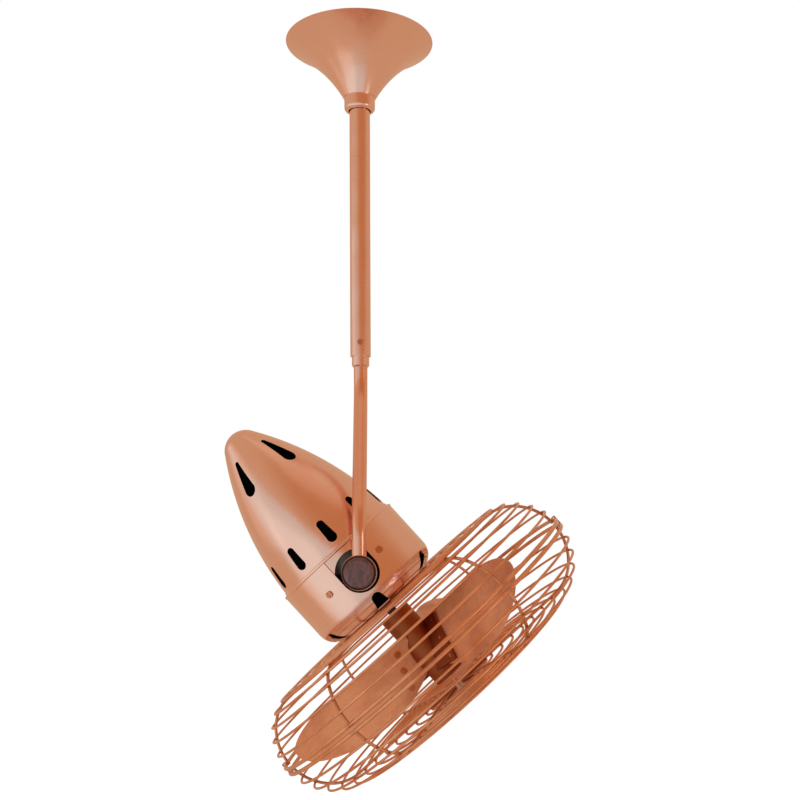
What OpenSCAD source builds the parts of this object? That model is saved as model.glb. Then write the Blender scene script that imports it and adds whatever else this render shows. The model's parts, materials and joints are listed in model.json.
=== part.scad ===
// Hanging fan with a tilting guarded head.
// The origin is the middle of the ceiling face, on the axis of the downrod, and +Z points up.
// The head is drawn along its own axis: its local +Z points out of the front of the fan.

/* [Canopy] */
// Diameter of the canopy at the ceiling
canopy_d = 150; // [130:1:170]
// Height of the flared canopy
canopy_h = 56; // [52:1:64]
// Radius of the flare's hollow curve
flare_r = 148; // [120:1:200]
// Diameter of the canopy at its neck
neck_d = 33; // [32.5:0.5:36]
// Thickness of the spun sheet
canopy_wall = 1.2; // [0.8:0.1:1.6]
// Diameter of the collar under the canopy
collar_d = 31.4; // [30:0.2:32.4]
// Height of the collar
collar_h = 13.5; // [12:0.5:18]
// Radius of the round lower edge of the collar
collar_round = 3.5; // [1:0.5:4]

/* [Downrod] */
// Distance from the ceiling to the tilt axis
drop = 542; // [530:1:620]
// Outer diameter of the downrod
rod_d = 21; // [20:0.5:22]
// Wall of the downrod
rod_wall = 1.5; // [1.2:0.1:2]
// Distance from the tilt axis up to the lower end of the downrod
rod_end_up = 221; // [215:1:240]
// Length of the coupler that shows under the downrod
coupler_show = 11; // [8:1:16]

/* [Hanger] */
// Spacing of the two ceiling slots
slot_spacing = 88.9; // [80:0.1:92]
// Length of each ceiling slot
slot_l = 14; // [10:1:15]
// Width of each ceiling slot
slot_w = 5.5; // [4.5:0.1:6.5]
// Length of the bracket's ceiling flange
flange_l = 112; // [108:1:118]
// Width of the bracket strip
strip_w = 26; // [24:1:30]
// Thickness of the bracket strip
strip_t = 2; // [1.5:0.1:2.5]
// Depth of the saddle that carries the ball
saddle_h = 30; // [29:1:31]
// Radius of the hanger ball
ball_r = 16; // [15:0.5:17]

/* [Arm] */
// Outer diameter of the arm tube
arm_d = 14; // [13:0.5:15]
// Wall of the arm tube
arm_wall = 1.3; // [1:0.1:2]
// Distance of the eye from the plane of the head's axis
arm_out = 84; // [83:0.5:95]
// Angle of the arm's slanted run
arm_slant = 32; // [28:1:36]
// Bend radius of the arm tube
arm_bend = 50; // [40:1:60]
// Diameter of the eye
eye_d = 34; // [33:0.5:38]
// Thickness of the eye
eye_t = 15; // [14:0.5:18]

/* [Head] */
// Angle of the head's axis below the horizontal at rest
head_pitch = 47.8; // [30:0.1:60]
// Distance of the head's axis below the tilt axis
axis_offset = 3.5; // [0:0.5:6]
// Outer radius of the bowl
bowl_r = 71.5; // [70.5:0.1:72.5]
// Distance of the bowl's front face from the tilt axis
bowl_front = 39.5; // [38:0.5:44]
// Radius of the bowl's front corner
bowl_corner = 19.5; // [14:0.5:22]
// Distance of the seam behind the tilt axis
seam_back = 31; // [29:0.5:35]
// Thickness of the spun shells
shell_wall = 1.2; // [0.8:0.1:1.6]
// Radius of the long curve of the rear cone
cone_arc_r = 314; // [290:1:360]
// Largest radius of that curve
cone_max_r = 69.2; // [68.8:0.1:69.6]
// Distance of its widest point behind the tilt axis
cone_arc_back = 11; // [5:1:20]
// Radius of the nose
nose_r = 22; // [18:1:26]
// Radius of the notch round the pivot
notch_r = 19.5; // [18.5:0.5:21]
// Radius of the dark opening round the pivot
eye_gap_r = 24; // [23:0.5:26]
// Width of the raised lip at the front rim of the rear cone
lip_w = 4.4; // [3:0.1:5]
// Height of that lip
lip_h = 0.6; // [0.3:0.1:0.8]

/* [Vents] */
// Number of long vents near the nose
nose_vents = 5; // [3:1:6]
// Number of vents in the row before the seam
seam_vents = 10; // [6:1:12]
// Number of vents at the front edge of the bowl
edge_vents = 6; // [3:1:8]
// Length of a nose vent between its two end circles
nose_vent_l = 28.5; // [22:0.5:32]
// Radius of the wide end of a nose vent
nose_vent_r = 6.8; // [4:0.1:7]
// Radius of the narrow end of a nose vent
nose_vent_tip = 2.4; // [1.4:0.1:3]
// Distance of a nose vent's wide end from the middle of the nose
nose_vent_at = 36; // [34:1:40]
// Length of a seam vent between its two end circles
seam_vent_l = 16; // [12:1:18]
// Radius of the wide end of a seam vent
seam_vent_r = 5.3; // [4:0.1:6]
// Distance of a seam vent's wide end behind the seam
seam_vent_at = 13; // [12:0.5:16]
// Radius of the narrow end of an edge vent
edge_vent_r = 6; // [5:0.5:7]
// Radius of the wide end of an edge vent
edge_vent_wide = 7.6; // [7.2:0.1:9]
// Length of an edge vent between its two end circles
edge_vent_l = 8.5; // [7:0.5:9]
// Distance of an edge vent's narrow end behind the bowl's front face
edge_vent_at = 9.5; // [9:0.5:12]
// Thickness of the black screens behind the vents
screen_t = 0.8; // [0.6:0.1:1.2]

/* [Motor] */
// Radius of the motor
motor_r = 48; // [45:0.5:50]
// Length of the laminated core
core_l = 35; // [28:1:36]
// Radius of the shaft
shaft_r = 5; // [4.5:0.1:5.5]
// Outer radius of each ball bearing
bearing_r = 13; // [12:0.5:14]
// Width of each ball bearing
bearing_w = 8; // [7:0.5:8]
// Radius of the rotor
rotor_r = 25.5; // [22:0.5:26]
// Radius of the capacitor
capacitor_r = 15; // [12:0.5:17]
// Length of the capacitor
capacitor_l = 52; // [40:1:56]

/* [Guard] */
// Radius of the guard to the centre of its rim wire
guard_r = 186; // [184:1:200]
// Half the thickness of the guard to its flat rings
guard_half = 56; // [54:0.5:60]
// Radius of the guard's outer side curve
guard_side = 60; // [58:1:64]
// Radius of the guard's corner curve
guard_corner = 46; // [44:1:48]
// Gap between the plates and the middle of the smallest ring
inner_ring_gap = 6.3; // [5.5:0.1:9]
// Number of rings on each half, with the rim
ring_count = 13; // [11:1:13]
// Number of ribs on each half
rib_count = 6; // [4:2:8]
// Diameter of the ring wire
ring_wire = 2.5; // [2:0.1:3]
// Diameter of the rib wire
rib_wire = 3.2; // [2.8:0.1:3.6]
// Diameter of the rim wire
rim_wire = 4; // [3:0.1:4.4]
// Distance of each rim wire from the guard's middle plane
rim_off = 3.5; // [3:0.1:5]
// Radius of the plates at the middle of the guard
plate_r = 39; // [37:0.5:44]
// Number of clips that hold the two halves together
clip_count = 2; // [2:1:6]
// Width of each clip
clip_w = 7; // [5:0.5:10]

/* [Blades] */
// Number of blades
blade_count = 3; // [3:1:3]
// Radius to the tip of a blade
blade_tip_r = 169; // [150:1:172]
// Pitch of the blades from the plane of rotation
blade_pitch = 60; // [45:1:62]
// Radius of the blade's camber
camber_r = 150; // [120:1:220]
// Thickness of a blade
blade_t = 1.4; // [1:0.1:2]
// Widest point of the front edge from the blade's middle line
front_edge = 36; // [28:1:38]
// Widest point of the rear edge from the blade's middle line
rear_edge = 38; // [28:1:40]
// Turn of the first blade about the head's axis at rest
blade_turn = 231; // [0:1:359]
// Radius of the hub
hub_r = 17; // [15:0.5:19]
// Length of the hub
hub_l = 85; // [80:1:88]
// Distance of the blades' middle in front of the guard's middle plane
blade_shift = 6; // [4:0.5:8]
// Reach of the hub's lugs from the spin axis
lug_reach = 44; // [40:1:48]
// Width of each lug across the blade
lug_w = 54; // [48:1:58]
// Distance between neighbouring blade screws across the blade
screw_gap = 21; // [17:1:22]

/* [Knob] */
// Diameter of the wooden grip
grip_d = 29.4; // [26:0.2:32]
// Diameter of the knob's metal cup
knob_d = 32.6; // [31:0.2:36]
// Thickness of the knob
knob_t = 14; // [12:0.5:18]
// Radius of the pivot stud
stud_r = 5; // [4:0.5:6]

/* [Hidden] */
$fn = 64;

// Clearances
fit = 0.3;
snug = 0.1;
run = 0.06;
weld = 0.3;
eps = 0.01;
far = 400;
inside_tangent = 0.98;
hair = 0.05;
lap_a = 0.8;

// Small fasteners
m4 = 2;
m5 = 2.5;
m4_head = 3.4;
m4_head_t = 2.2;
screw_grip = 5;
shell_head_t = 1.6;
cross_w = 0.8;
cross_depth = 0.6;
hex_r = 4.04;

copper = [0.78, 0.51, 0.37];
steel = [0.72, 0.73, 0.75];
dark_steel = [0.35, 0.36, 0.38];
cast = [0.66, 0.67, 0.68];

// Hanger heights
rod_r = rod_d / 2;
rod_in = rod_r - rod_wall;
rod_hole = rod_r + 1.1;
neck_r = neck_d / 2;
ball_hole = rod_r + 1;
ball_z = -saddle_h + strip_t + sqrt(ball_r * ball_r - ball_hole * ball_hole) + snug;
ball_top = 10;
rod_top = ball_z + ball_top - 2;
pin_r = 2.5;
rod_end = -drop + rod_end_up;
leg_x = 24;
wire_hole_r = 3.5;

// Coupler and arm
coupler_r = rod_in - snug;
coupler_up = 36;
screw_up = 13;
screw_z = rod_end + screw_up;
coupler_end = rod_end - coupler_show;
arm_r = arm_d / 2;
arm_top = screw_z + 9;
run_l = (arm_out - 2 * arm_bend * (1 - cos(arm_slant))) / sin(arm_slant);
bend_drop = 2 * arm_bend * sin(arm_slant) + run_l * cos(arm_slant);
bend_start = coupler_end - 12;
bend_end = bend_start - bend_drop;

// Pivot stack, measured outwards from the plane of the head's axis
eye_in = arm_out - eye_t / 2;
eye_out = arm_out + eye_t / 2;
washer_t = 1.2;
boss_end = eye_in - fit - washer_t;
spring_t = 1.5;
knob_in = eye_out + 2 * fit + spring_t;
knob_out = knob_in + knob_t;
boss_r = 14;
cup_h = knob_t - 2;
cup_floor = 2.5;

// Head
seam = -seam_back;
cone_arc_s = -cone_arc_back;
nose_s = cone_arc_s - sqrt(pow(cone_arc_r - nose_r, 2) - pow(cone_arc_r - cone_max_r, 2));
nose_dir = atan2(nose_s - cone_arc_s, cone_arc_r - cone_max_r);
cone_seam_r = cone_max_r - cone_arc_r + sqrt(pow(cone_arc_r, 2) - pow(seam - cone_arc_s, 2));
nose_proud = 0.1;
ring_wall = 1.5;
ring_out = bowl_r - shell_wall - fit;
ring_gap = 1.2;
ring_in = cone_seam_r - shell_wall - ring_gap;
screw_lap = 3.5;
cone_screw_s = seam - lip_w - m4_head - fit - snug;
ring_back = cone_screw_s - screw_lap;
ring_front = 5;
bowl_screw_s = -4;
bowl_screw_turn = 27;
cone_screw_turn = 54;
far_side = 84;
nose_vent_turn = -132;
seam_vent_turn = -96;
seam_vent_taper = 1.2;
edge_vent_depth = 17;
vent_rim = 0.6;
screen_inset = shell_wall + ring_gap + ring_wall + fit;
cone_screw_grip = screen_inset + 2 * snug;
screen_gap = 0.4;
screen_back = 16;
screen_edge = 2;

// Motor along the head's axis
motor_front = bowl_front - shell_wall;
cover_plate = 4;
front_depth = 16;
core_front = motor_front - front_depth;
core_back = core_front - core_l;
rear_plate = 3;
rear_depth = 12;
rear_face = core_back - rear_depth - rear_plate;
front_lip = 2.3;
rear_boss = 5;
front_seat = motor_front - front_lip;
rear_seat = rear_face - rear_boss;
cover_wall = 3;
bolt_inset = 5;
bolt_at = motor_r - bolt_inset;
slots = 12;
slot_cut_w = 6;
air_gap = 0.6;
coil_head_h = 9;
seat_wall = 4;
capacitor_gap = 4;
coil_in = rotor_r + 3;
coil_inset = 7.5;
coil_out = motor_r - coil_inset;
clamp_t = 3.8;
clamp_half = 11;

// Guard along the head's axis
gasket_t = 1.4;
mount_t = 2;
mount_face = bowl_front + gasket_t + mount_t;
rib_off = (ring_wire + rib_wire) / 2 - weld;
guard_mid = mount_face - weld + rib_wire / 2 + guard_half - rib_off;
side_c = guard_r - guard_side;
join_a = asin((guard_half - guard_corner) / (guard_side - guard_corner));
corner_c = side_c + (guard_side - guard_corner) * cos(join_a);
side_len = guard_side * join_a * PI / 180;
corner_len = guard_corner * (90 - join_a) * PI / 180;
mount_hole_r = 21;
ring_step = (side_len + corner_len + corner_c - plate_r - inner_ring_gap - rim_off) / (ring_count - 1);
guard_bolt_r = (plate_r + mount_hole_r) / 2;
rib_plane = guard_half - rib_off;
plate_s = guard_mid + rib_plane + rib_wire / 2 - weld;
front_plate_t = 1.5;

// Rotor
blade_mid = guard_mid + blade_shift;
hub_shift = 1.5;
hub_front = guard_mid + hub_l / 2 - hub_shift;
hub_back = hub_front - hub_l;
set_screw_s = hub_back + 8;
nut_t = 7;
nut_pocket = 8;
nut_pocket_r = 11;
lug_t = 3;
lug_gap = 0.2;
lug_slant = 10;
screw_inset = 3 * m4;
blade_root_r = hub_r + fit;
tip_c = -13;
front_peak = 70;
rear_peak = 115;
root_front = 20;
root_rear = -30;

// Point on the guard's outline, as radius and height, at a distance t along it from the middle plane
function guard_pt(t) =
    t < side_len ? [side_c + guard_side * cos(t / guard_side * 180 / PI), guard_side * sin(t / guard_side * 180 / PI)]
    : t < side_len + corner_len ?
        let (a = join_a + (t - side_len) / guard_corner * 180 / PI)
        [corner_c + guard_corner * cos(a), guard_half - guard_corner + guard_corner * sin(a)]
    : [corner_c - (t - side_len - corner_len), guard_half];

// Two circles joined by straight sides that run just inside their common tangents
module teardrop2d(big, small, length) {
    a = acos((big - small) / length);
    b = big * inside_tangent;
    c = small * inside_tangent;
    circle(big);
    translate([length, 0]) circle(small);
    polygon([[b * cos(a), b * sin(a)], [length + c * cos(a), c * sin(a)],
        [length + c * cos(a), -c * sin(a)], [b * cos(a), -b * sin(a)]]);
}

module tube(outer, inner, h) {
    difference() {
        cylinder(r = outer, h = h);
        translate([0, 0, -1]) cylinder(r = inner, h = h + 2);
    }
}

// Places children in the head's own axes: local +Z runs out of the front, the camera side is local -Y
module in_head() {
    translate([0, 0, -drop]) rotate([0, 90 + head_pitch, 0]) translate([axis_offset, 0, 0]) children();
}

// Places children at each screw that holds the guard to the motor, between two ribs
module at_guard_screws() {
    for (i = [0 : 2 : rib_count - 1]) rotate([0, 0, (i + 0.5) * 360 / rib_count]) translate([guard_bolt_r, 0, 0])
        children();
}

// Turns children so that their +Z runs outwards along the tilt axis, inside the head's axes
module on_pivot() {
    translate([-axis_offset, 0, 0]) rotate([90, 0, 0]) children();
}

// Turns children so that their +Z is radial at an angle round the head, and their +X runs to the rear
module radial(angle, s) {
    rotate([0, 0, angle]) translate([0, 0, s]) rotate([0, 90, 0]) children();
}

// Hanger
module hanger_bracket() {
    color(dark_steel) difference() {
        union() {
            translate([-flange_l / 2, -strip_w / 2, -strip_t]) cube([flange_l, strip_w, strip_t]);
            for (side = [-1, 1])
                translate([side * (leg_x - strip_t / 2) - strip_t / 2, -strip_w / 2, -saddle_h])
                    cube([strip_t, strip_w, saddle_h]);
            translate([-leg_x, -strip_w / 2, -saddle_h]) cube([2 * leg_x, strip_w, strip_t]);
        }
        translate([-leg_x - 6.5, 0, -strip_t - 1]) cylinder(r = wire_hole_r, h = strip_t + 2);
        translate([0, 0, -saddle_h - 1]) cylinder(r = ball_hole, h = strip_t + 2);
        for (side = [-1, 1]) translate([side * slot_spacing / 2, 0, -strip_t - 1])
            linear_extrude(height = strip_t + 2) {
                for (end = [-1, 1]) translate([end * (slot_l - slot_w) / 2, 0]) circle(slot_w / 2);
                square([slot_l - slot_w, slot_w], center = true);
            }
    }
}

module terminal_block() {
    block = [10, 18, 14];
    color([0.86, 0.85, 0.8]) difference() {
        translate([leg_x, -block[1] / 2, -saddle_h / 3 - block[2] / 2]) cube(block);
        for (i = [-1, 0, 1]) translate([leg_x + block[0] / 2, i * 5.4, -saddle_h / 3])
            cylinder(r = 1.6, h = block[2]);
    }
}

module hanger_ball() {
    color(steel) difference() {
        translate([0, 0, ball_z]) intersection() {
            sphere(r = ball_r, $fn = 96);
            translate([0, 0, -11.5]) cylinder(r = ball_r + 1, h = 11.5 + ball_top);
        }
        translate([0, 0, -far / 2]) cylinder(r = rod_r + snug, h = far);
        translate([-ball_r - 1, 0, ball_z]) rotate([0, 90, 0]) cylinder(r = pin_r + snug, h = 2 * ball_r + 2);
    }
}

module ball_pin() {
    color(steel) translate([-ball_r + 1.5, 0, ball_z]) rotate([0, 90, 0]) cylinder(r = pin_r, h = 2 * ball_r - 3);
}

module downrod() {
    color(copper) difference() {
        translate([0, 0, rod_end]) cylinder(r = rod_r, h = rod_top - rod_end);
        translate([0, 0, rod_end - 1]) cylinder(r = rod_in, h = rod_top - rod_end + 2);
        translate([-rod_d, 0, ball_z]) rotate([0, 90, 0]) cylinder(r = pin_r + snug, h = 2 * rod_d);
        translate([0, rod_d, screw_z]) rotate([90, 0, 0]) cylinder(r = m4 + snug, h = 2 * rod_d);
    }
}

module rod_coupler() {
    chamfer = 1.5;
    color(copper) difference() {
        rotate_extrude() polygon([[0, coupler_end], [coupler_r - chamfer, coupler_end],
            [coupler_r, coupler_end + chamfer], [coupler_r, rod_end + coupler_up], [0, rod_end + coupler_up]]);
        translate([0, 0, coupler_end - 1]) cylinder(r = arm_r + snug, h = arm_top - coupler_end + 1 + fit);
        translate([0, 0, arm_top]) cylinder(r = arm_r - arm_wall, h = coupler_up);
        translate([0, rod_d, screw_z]) rotate([90, 0, 0]) cylinder(r = m4 + snug, h = 2 * rod_d);
    }
}

module coupler_screw() {
    color(copper) translate([0, 0, screw_z]) rotate([90, 0, 0]) {
        translate([0, 0, -rod_r - 5]) cylinder(r = m4, h = rod_d + 5 + snug + eps);
        difference() {
            translate([0, 0, rod_r + snug]) cylinder(r = 3, h = m4_head_t);
            translate([-0.5, -4, rod_r + m4_head_t - 0.8]) cube([1, 8, 1]);
        }
    }
}

module coupler_nut() {
    color(copper) translate([0, rod_r + 3.4, screw_z]) rotate([90, 0, 0]) difference() {
        cylinder(r = hex_r, h = 3.2, $fn = 6);
        translate([0, 0, -1]) cylinder(r = m4 + snug, h = 6);
    }
}

// Runs of the arm from the coupler down to the eye, at radius r; the bends are a hair thinner and lap into the runs
module arm_runs(r, over) {
    translate([0, 0, bend_start]) cylinder(r = r, h = arm_top + over - bend_start);
    translate([0, -arm_bend, bend_start]) rotate([0, 90, 0]) rotate([0, 0, 90 - arm_slant - lap_a])
        arm_bend_run(r);
    translate([0, -arm_bend * (1 - cos(arm_slant)), bend_start - arm_bend * sin(arm_slant)])
        rotate([180 - arm_slant, 0, 0]) cylinder(r = r, h = run_l);
    translate([0, arm_bend - arm_out, bend_end]) rotate([0, 90, 0]) rotate([0, 0, -90 - arm_slant - lap_a])
        arm_bend_run(r);
    translate([0, -arm_out, -drop + eye_d / 2 - 5]) cylinder(r = r, h = bend_end + drop - eye_d / 2 + 5);
}

module arm_bend_run(r) {
    rotate_extrude(angle = arm_slant + 2 * lap_a) translate([arm_bend, 0]) circle(r - hair);
}

module arm_tube() {
    color(copper) difference() {
        union() {
            difference() {
                arm_runs(arm_r, 0);
                arm_runs(arm_r - arm_wall, 1);
            }
            translate([0, -eye_in, -drop]) rotate([90, 0, 0]) cylinder(r = eye_d / 2, h = eye_t);
        }
        translate([0, -eye_in + 1, -drop]) rotate([90, 0, 0]) cylinder(r = stud_r + run, h = eye_t + 2);
        translate([0, rod_d, screw_z]) rotate([90, 0, 0]) cylinder(r = m4 + snug, h = 2 * rod_d);
    }
}

// Canopy group
module canopy() {
    chord = [canopy_d / 2 - neck_r, canopy_h];
    half = norm(chord) / 2;
    reach = sqrt(flare_r * flare_r - half * half);
    centre = [(canopy_d / 2 + neck_r) / 2 + reach * chord[1] / norm(chord),
        -canopy_h / 2 - reach * chord[0] / norm(chord)];
    color(copper) rotate_extrude($fn = 128) intersection() {
        difference() {
            translate(centre) circle(flare_r + canopy_wall, $fn = 256);
            translate(centre) circle(flare_r, $fn = 256);
        }
        translate([0, -canopy_h]) square([canopy_d / 2, canopy_h]);
    }
}

module canopy_collar() {
    r = collar_d / 2;
    z0 = -canopy_h - collar_h;
    spigot_r = neck_r - 2.4;
    color(copper) difference() {
        union() {
            rotate_extrude() {
                translate([0, z0 + collar_round]) square([r, collar_h - collar_round]);
                translate([0, z0]) square([r - collar_round, collar_h]);
                translate([r - collar_round, z0 + collar_round]) circle(collar_round);
            }
            translate([0, 0, -canopy_h - eps]) cylinder(r = spigot_r, h = 4);
        }
        translate([0, 0, z0 - 1]) cylinder(r = rod_hole, h = collar_h + 8);
        translate([0, 0, -canopy_h - collar_h / 2]) rotate([-90, 0, 0]) cylinder(r = m4 + snug, h = collar_d);
    }
}

module collar_screw() {
    color(steel) translate([0, rod_r + fit, -canopy_h - collar_h / 2]) rotate([-90, 0, 0]) difference() {
        cylinder(r = m4, h = collar_d / 2 - rod_r - fit - 0.5);
        translate([-0.4, -3, collar_d / 2 - rod_r - fit - 1.5]) cube([0.8, 6, 2]);
    }
}

// Head shells
module cone_region(inset) {
    big = cone_arc_r - inset;
    joint = cone_arc_s + big * sin(nose_dir);
    intersection() {
        translate([cone_max_r - cone_arc_r, cone_arc_s]) circle(big, $fn = 360);
        translate([0, joint]) square([cone_max_r + 5, seam - joint + inset]);
    }
    intersection() {
        translate([0, nose_s]) circle(nose_r - inset + nose_proud);
        translate([0, nose_s - nose_r - 1]) square(2 * nose_r + 2);
    }
}

// The row of vents before the seam, wider by extra on every side
module seam_vent_cuts(extra) {
    for (i = [0 : seam_vents - 1]) radial(seam_vent_turn - i * 360 / seam_vents, seam - seam_vent_at)
        linear_extrude(height = far)
            teardrop2d(seam_vent_r + extra, seam_vent_r - seam_vent_taper + extra, seam_vent_l);
}

module cone_screw_cuts() {
    for (side = [-1, 1]) radial(far_side + side * cone_screw_turn, cone_screw_s) cylinder(r = m4 + snug, h = far);
}

module rear_cone() {
    color(copper) difference() {
        rotate_extrude($fn = 96) {
            difference() {
                intersection() {
                    cone_region(0);
                    translate([0, -far]) square([far, far + seam]);
                }
                cone_region(shell_wall);
            }
            translate([cone_seam_r - shell_wall / 2, seam - lip_w]) square([shell_wall / 2 + lip_h, lip_w]);
        }
        for (i = [0 : nose_vents - 1]) radial(nose_vent_turn - i * 360 / nose_vents, nose_s + nose_vent_at)
            linear_extrude(height = far) teardrop2d(nose_vent_r, nose_vent_tip, nose_vent_l);
        seam_vent_cuts(0);
        cone_screw_cuts();
    }
}

module bowl_region(inset) {
    translate([0, seam - inset]) square([bowl_r - inset, bowl_front - bowl_corner - seam + inset]);
    translate([0, seam - inset]) square([bowl_r - bowl_corner, bowl_front - seam]);
    translate([bowl_r - bowl_corner, bowl_front - bowl_corner]) circle(bowl_corner - inset);
}

module front_bowl() {
    color(copper) difference() {
        rotate_extrude($fn = 96) difference() {
            intersection() {
                bowl_region(0);
                translate([0, seam]) square([far, far]);
            }
            bowl_region(shell_wall);
        }
        on_pivot() cylinder(r = notch_r, h = far);
        translate([-axis_offset - notch_r, -far, seam - 1]) cube([2 * notch_r, far, -seam + 1]);
        for (i = [0 : edge_vents - 1]) radial(-90 - i * 360 / edge_vents, bowl_front - edge_vent_at + edge_vent_l)
            translate([0, 0, bowl_r - edge_vent_depth]) linear_extrude(height = far)
                teardrop2d(edge_vent_wide, edge_vent_r, edge_vent_l);
        for (side = [-1, 1]) radial(-90 + side * bowl_screw_turn, bowl_screw_s) cylinder(r = m4 + snug, h = far);
        cylinder(r = shaft_r + 7, h = far);
        at_guard_screws() cylinder(r = m4 + snug, h = far);
    }
}

module joining_ring() {
    color(copper) difference() {
        rotate_extrude() polygon([[ring_in - ring_wall, ring_back], [ring_in, ring_back], [ring_in, seam + fit],
            [ring_out, seam + fit], [ring_out, ring_front], [ring_out - ring_wall, ring_front],
            [ring_out - ring_wall, seam + fit + ring_wall], [ring_in - ring_wall, seam + fit + ring_wall]]);
        on_pivot() cylinder(r = eye_gap_r, h = far);
        for (side = [-1, 1]) radial(-90 + side * bowl_screw_turn, bowl_screw_s) cylinder(r = m4 + snug, h = far);
        cone_screw_cuts();
        seam_vent_cuts(vent_rim);
    }
}

// Thin black screens that follow the shells behind the vents
module rear_screen() {
    color([0.08, 0.08, 0.08]) rotate_extrude($fn = 96) difference() {
        intersection() {
            cone_region(screen_inset);
            translate([0, -far]) square([far, far + seam - screen_edge]);
        }
        cone_region(screen_inset + screen_t);
    }
}

module front_screen() {
    inset = shell_wall + screen_gap;
    color([0.08, 0.08, 0.08]) rotate_extrude($fn = 96) difference() {
        intersection() {
            bowl_region(inset);
            translate([motor_r + screen_edge, screen_back]) square([far, far]);
        }
        bowl_region(inset + screen_t);
    }
}

// Pan-head screw that runs inwards from a head seated at radius r
module shell_screw(r, grip) {
    translate([0, 0, r - grip]) cylinder(r = m4, h = grip + eps);
    difference() {
        translate([0, 0, r]) cylinder(r = m4_head, h = shell_head_t);
        for (turn = [0, 90]) rotate([0, 0, turn]) translate([-cross_w / 2, -4, r + shell_head_t - cross_depth])
            cube([cross_w, 8, 1]);
    }
}

module cone_screws() {
    r = cone_seam_r + snug;
    color(copper) for (side = [-1, 1]) radial(far_side + side * cone_screw_turn, cone_screw_s)
        shell_screw(r, cone_screw_grip);
}

module bowl_screws() {
    color(copper) for (side = [-1, 1]) radial(-90 + side * bowl_screw_turn, bowl_screw_s)
        shell_screw(bowl_r + 2 * snug, screw_grip);
}

// Pivot
module pivot_bracket() {
    color(cast) difference() {
        union() {
            translate([0, 0, -clamp_half]) cylinder(r = motor_r + snug + clamp_t, h = 2 * clamp_half);
            on_pivot() translate([0, 0, motor_r - 8]) cylinder(r = boss_r, h = boss_end - motor_r + 8);
        }
        translate([0, 0, -clamp_half - boss_r]) cylinder(r = motor_r + snug, h = 2 * (clamp_half + boss_r));
        on_pivot() translate([0, 0, motor_r]) cylinder(r = stud_r + snug, h = far);
    }
}

module pivot_stud() {
    chamfer = 0.8;
    color(steel) on_pivot() translate([0, 0, motor_r + 2]) rotate_extrude() polygon([[0, 0], [stud_r, 0],
        [stud_r, knob_out - motor_r - 6 - chamfer], [stud_r - chamfer, knob_out - motor_r - 6],
        [0, knob_out - motor_r - 6]]);
}

module friction_washer() {
    color([0.25, 0.2, 0.17]) on_pivot() translate([0, 0, boss_end]) tube(boss_r, stud_r + snug, washer_t);
}

module spring_washer() {
    color(steel) on_pivot() translate([0, 0, eye_out + fit]) tube(stud_r + 5, stud_r + snug, spring_t);
}

module knob_cup() {
    wall = (knob_d - grip_d) / 2 - 0.2;
    color([0.3, 0.2, 0.16]) on_pivot() translate([0, 0, knob_in]) difference() {
        cylinder(r = knob_d / 2, h = cup_h);
        translate([0, 0, cup_floor]) tube(knob_d / 2 - wall, stud_r + 3, knob_t);
        translate([0, 0, -1]) cylinder(r = stud_r + run, h = knob_t + 2);
    }
}

module knob_grip() {
    wall = (knob_d - grip_d) / 2 - 0.2;
    r = knob_d / 2 - wall - snug;
    h = knob_t - cup_floor - snug;
    round = 3;
    color([0.36, 0.2, 0.18]) on_pivot() translate([0, 0, knob_in + cup_floor + snug]) difference() {
        rotate_extrude() {
            square([r, h - round]);
            square([r - round, h]);
            translate([r - round, h - round]) circle(round);
        }
        translate([0, 0, -1]) cylinder(r = stud_r + 3 + snug, h = cup_h - cup_floor + 1 + snug);
    }
}

// Motor
module stator_core() {
    color(dark_steel) difference() {
        translate([0, 0, core_back]) tube(motor_r, rotor_r + air_gap, core_l);
        for (i = [0 : slots - 1]) rotate([0, 0, (i + 0.5) * 360 / slots])
            translate([coil_in, -slot_cut_w / 2, core_back - 1])
                cube([coil_out - coil_in - 1, slot_cut_w, core_l + 2]);
        for (i = [0 : 3]) rotate([0, 0, 90 * i]) translate([bolt_at, 0, core_back - 1])
            cylinder(r = m4 + snug, h = core_l + 2);
    }
}

module stator_winding() {
    color([0.7, 0.3, 0.12]) {
        for (i = [0 : slots - 1]) rotate([0, 0, (i + 0.5) * 360 / slots])
            translate([coil_in + snug, snug - slot_cut_w / 2, core_back - eps])
                cube([coil_out - coil_in - 1 - 2 * snug, slot_cut_w - 2 * snug, core_l + 2 * eps]);
        translate([0, 0, core_front]) coil_head();
        translate([0, 0, core_back]) mirror([0, 0, 1]) coil_head();
    }
}

module coil_head() {
    round = 4;
    rotate_extrude() {
        translate([coil_in, 0]) square([coil_out - coil_in, coil_head_h - round]);
        translate([coil_in + round, 0]) square([coil_out - coil_in - 2 * round, coil_head_h]);
        for (x = [coil_in + round, coil_out - round]) translate([x, coil_head_h - round]) circle(round);
    }
}

module motor_front_cover() {
    seat_r = bearing_r + seat_wall;
    color(cast) difference() {
        rotate_extrude() polygon([[motor_r, core_front], [motor_r, motor_front], [shaft_r + 3, motor_front],
            [shaft_r + 3, front_seat], [bearing_r + snug, front_seat], [bearing_r + snug, front_seat - bearing_w],
            [seat_r, front_seat - bearing_w], [seat_r, motor_front - cover_plate],
            [motor_r - cover_wall, motor_front - cover_plate], [motor_r - cover_wall, core_front]]);
        for (i = [0 : 3]) rotate([0, 0, 90 * i]) translate([bolt_at, 0, core_front])
            cylinder(r = m4 + snug, h = motor_front - cover_plate + 2 - core_front);
        at_guard_screws() translate([0, 0, core_front]) cylinder(r = m4 + snug, h = far);
    }
}

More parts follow.
